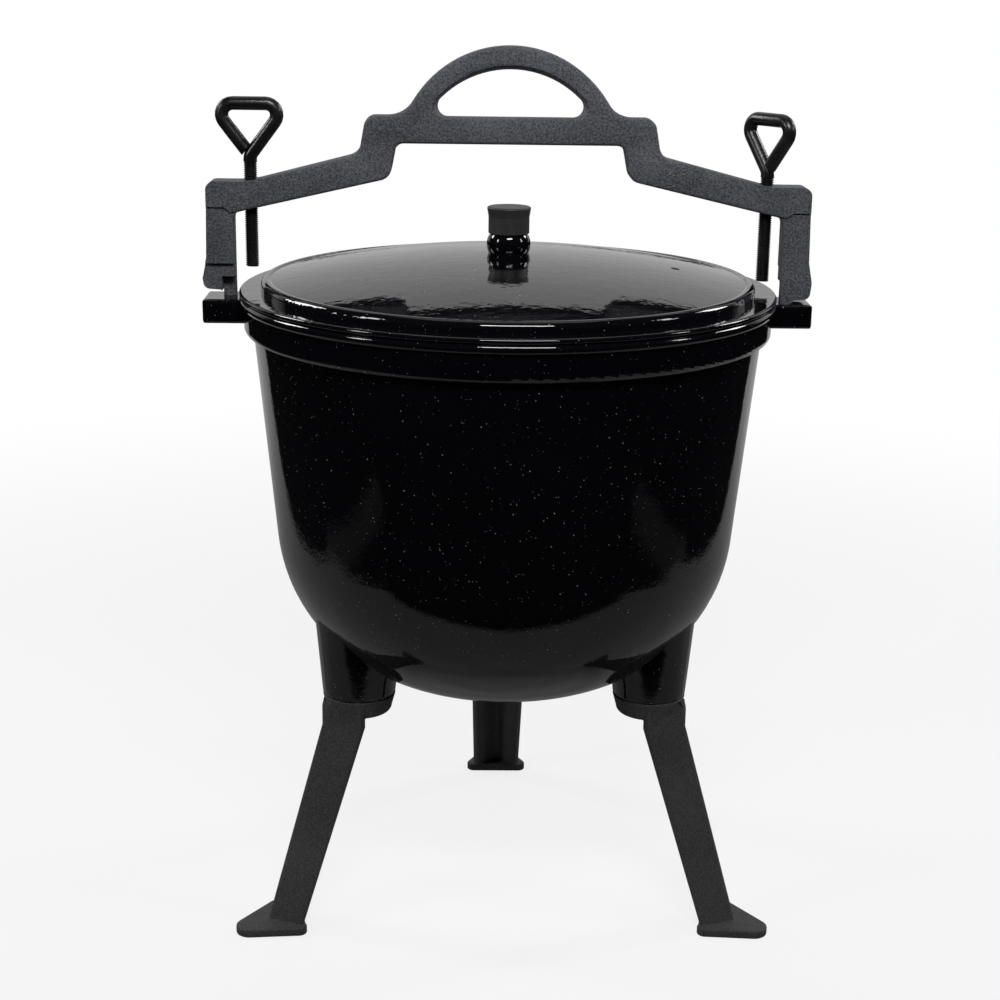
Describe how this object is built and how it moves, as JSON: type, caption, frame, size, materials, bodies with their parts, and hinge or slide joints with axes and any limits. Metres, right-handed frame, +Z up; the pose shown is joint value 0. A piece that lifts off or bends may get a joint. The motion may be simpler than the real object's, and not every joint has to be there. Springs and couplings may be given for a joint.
{
  "type": "cast iron cauldron",
  "caption": "Round enamelled cast iron cauldron on splayed screwed-in legs, with a domed knobbed lid held by a hooked carrying bow and its clamp screws.",
  "frame": {"origin": "centre of the part's box, on the ground that the feet stand on; the pot's axis is 12.85 mm in front of it", "axes": "+Z up along the pot's axis, +X to the right ear, -Y to the front"},
  "size_m": [0.3632, 0.3456, 0.5232],
  "materials": {
    "enamel": "glossy black enamel with sparse white specks over cast iron",
    "lid_enamel": "glossy black enamel over cast iron",
    "knob_enamel": "glossy black enamel",
    "knob_plastic": "matte black heatproof moulding",
    "screw_steel": "plain bright steel",
    "black_steel": "satin black lacquered steel rod",
    "raw_iron": "matte charcoal cast iron with a fine sand grain"
  },
  "bodies": {
    "root": {"pot": "enamel", "lid": "lid_enamel", "knob_base": "knob_enamel", "knob_grip": "knob_plastic", "knob_screw": "screw_steel", "knob_washer": "screw_steel", "clamp_bow": "raw_iron", "leg_rear": "raw_iron", "leg_front_left": "raw_iron", "leg_front_right": "raw_iron", "leg_stud_rear": "screw_steel", "leg_stud_front_left": "screw_steel", "leg_stud_front_right": "screw_steel"},
    "screw_left": {"clamp_screw_left": "black_steel"},
    "screw_right": {"clamp_screw_right": "black_steel"}
  },
  "joints": [
    {"name": "clamp_left", "type": "slide", "parent": "root", "child": "screw_left", "axis": [0, 0, 1], "range_m": [-0.0113, 0.034]},
    {"name": "clamp_right", "type": "slide", "parent": "root", "child": "screw_right", "axis": [0, 0, 1], "range_m": [-0.0054, 0.04]}
  ]
}
